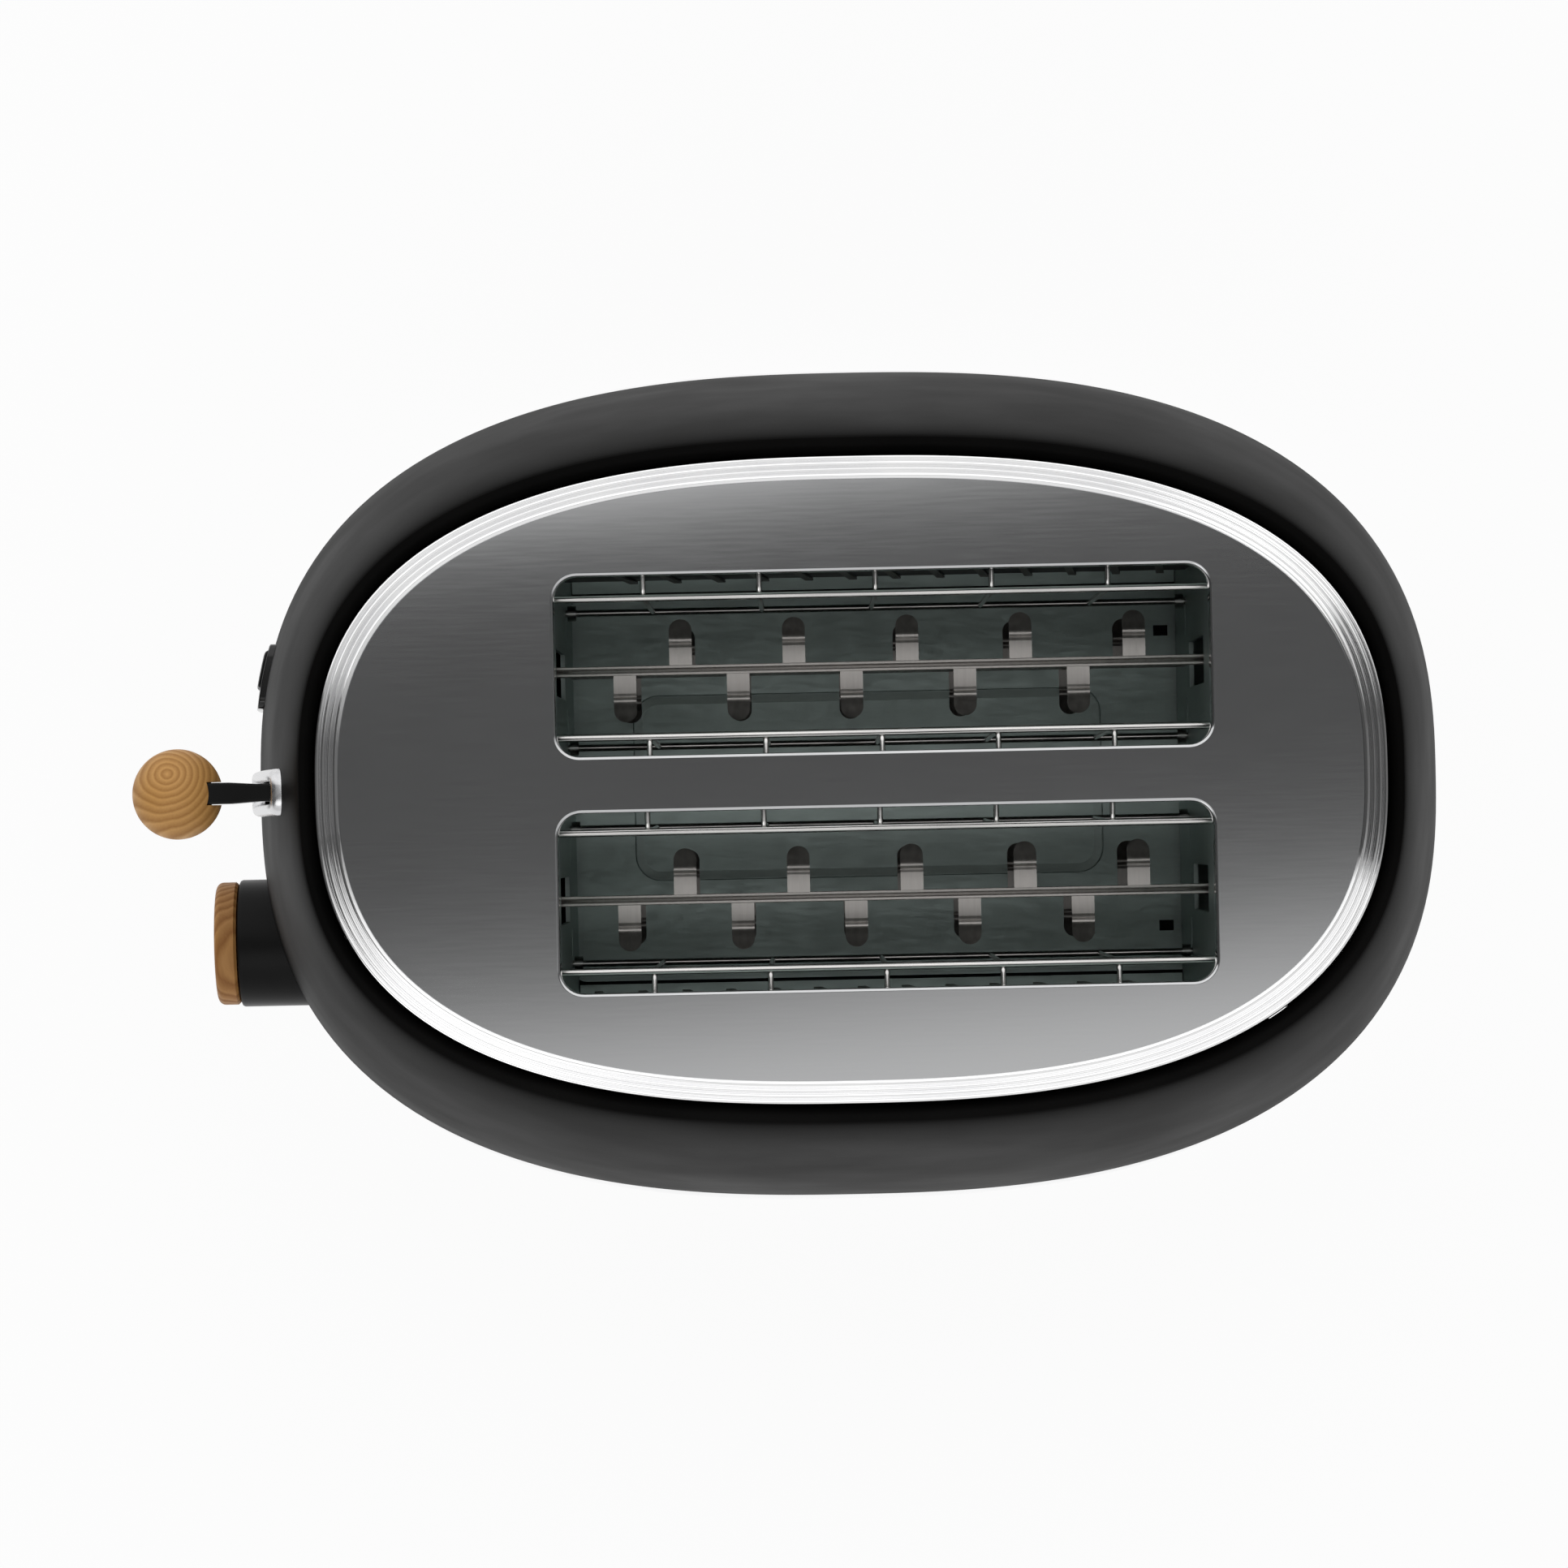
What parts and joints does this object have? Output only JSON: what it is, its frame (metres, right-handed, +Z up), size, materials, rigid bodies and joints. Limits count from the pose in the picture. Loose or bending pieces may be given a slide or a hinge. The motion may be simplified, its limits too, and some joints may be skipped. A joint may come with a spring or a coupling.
{
  "type": "toaster",
  "caption": "Two-slot pop-up toaster with an oval matt shell, chrome trim ring and base band, wooden lever ball and knob cap, and a sliding crumb tray.",
  "frame": {"origin": "middle of the bounding box on the table, between the lever's ball and the back of the base band", "axes": "+X from the lever end towards the back, +Y towards the side of the push buttons, +Z up"},
  "size_m": [0.2932, 0.1964, 0.19],
  "materials": {
    "matt_black": "matt",
    "black_plastic": "satin",
    "chrome": "polished",
    "polished_steel": "polished",
    "chamber_steel": "brushed",
    "satin_silver": "satin",
    "oak": "oiled",
    "rubber": "matt",
    "mica": "matt",
    "ribbon_alloy": "oxidised",
    "copper": "enamelled winding",
    "board_green": "satin"
  },
  "bodies": {
    "housing": {"outer_shell": "matt_black", "top_trim_ring": "chrome", "top_plate": "polished_steel", "base_band": "chrome", "base_plate": "black_plastic", "foot_front_left": "rubber", "foot_front_right": "rubber", "foot_rear_left": "rubber", "foot_rear_right": "rubber", "cord_gland": "black_plastic", "lever_escutcheon": "satin_silver", "button_bezel": "black_plastic", "front_end_plate": "chamber_steel", "rear_end_plate": "chamber_steel", "left_reflector": "chamber_steel", "right_reflector": "chamber_steel", "heater_board_left": "mica", "heater_board_centre": "mica", "heater_board_right": "mica", "heater_ribbon_left": "ribbon_alloy", "heater_ribbon_centre": "ribbon_alloy", "heater_ribbon_right": "ribbon_alloy", "guide_rod": "polished_steel", "return_spring": "polished_steel", "magnet_core": "chamber_steel", "magnet_coil": "copper", "power_switch": "black_plastic", "circuit_board": "board_green", "potentiometer": "satin_silver"},
    "lever": {"lever_carriage": "chamber_steel", "lever_arm": "black_plastic", "lever_ball": "oak", "bread_lift_left": "chamber_steel", "bread_lift_right": "chamber_steel", "armature": "chamber_steel"},
    "guide_a": {"guide_left_outer": "polished_steel"},
    "guide_b": {"guide_left_inner": "polished_steel"},
    "guide_c": {"guide_right_inner": "polished_steel"},
    "guide_d": {"guide_right_outer": "polished_steel"},
    "knob": {"knob_barrel": "black_plastic", "knob_cap": "oak", "knob_shaft": "polished_steel"},
    "upper_button": {"button_top": "black_plastic"},
    "middle_button": {"button_middle": "black_plastic"},
    "lower_button": {"button_bottom": "black_plastic"},
    "tray": {"crumb_tray": "chamber_steel", "tray_handle": "chrome"}
  },
  "joints": [
    {"name": "lever_slide", "type": "slide", "parent": "housing", "child": "lever", "axis": [0, 0, -1], "range_m": [0, 0.048], "stiffness_N_per_m": 80, "springref_m": -0.03, "deforming": ["return_spring"]},
    {"name": "guide_left_outer_slide", "type": "slide", "parent": "housing", "child": "guide_a", "axis": [0, -1, 0], "range_m": [0, 0.0065]},
    {"name": "guide_left_inner_slide", "type": "slide", "parent": "housing", "child": "guide_b", "axis": [0, 1, 0], "range_m": [0, 0.0065]},
    {"name": "guide_right_inner_slide", "type": "slide", "parent": "housing", "child": "guide_c", "axis": [0, -1, 0], "range_m": [0, 0.0065]},
    {"name": "guide_right_outer_slide", "type": "slide", "parent": "housing", "child": "guide_d", "axis": [0, 1, 0], "range_m": [0, 0.0065]},
    {"name": "knob_turn", "type": "hinge", "parent": "housing", "child": "knob", "pos_m": [-0.1315, -0.034, 0.06], "axis": [-1, 0, 0], "range_deg": [0, 270]},
    {"name": "button_top_press", "type": "slide", "parent": "housing", "child": "upper_button", "axis": [1, 0, 0], "range_m": [0, 0.0015], "stiffness_N_per_m": 400, "springref_m": -0.001},
    {"name": "button_middle_press", "type": "slide", "parent": "housing", "child": "middle_button", "axis": [1, 0, 0], "range_m": [0, 0.0015], "stiffness_N_per_m": 400, "springref_m": -0.001},
    {"name": "button_bottom_press", "type": "slide", "parent": "housing", "child": "lower_button", "axis": [1, 0, 0], "range_m": [0, 0.0015], "stiffness_N_per_m": 400, "springref_m": -0.001},
    {"name": "tray_slide", "type": "slide", "parent": "housing", "child": "tray", "axis": [1, 0, 0], "range_m": [0, 0.15]}
  ],
  "couplings": [
    {"joint": "guide_left_outer_slide", "follows": "lever_slide", "ratio": 0.1354},
    {"joint": "guide_left_inner_slide", "follows": "lever_slide", "ratio": 0.1354},
    {"joint": "guide_right_inner_slide", "follows": "lever_slide", "ratio": 0.1354},
    {"joint": "guide_right_outer_slide", "follows": "lever_slide", "ratio": 0.1354}
  ]
}
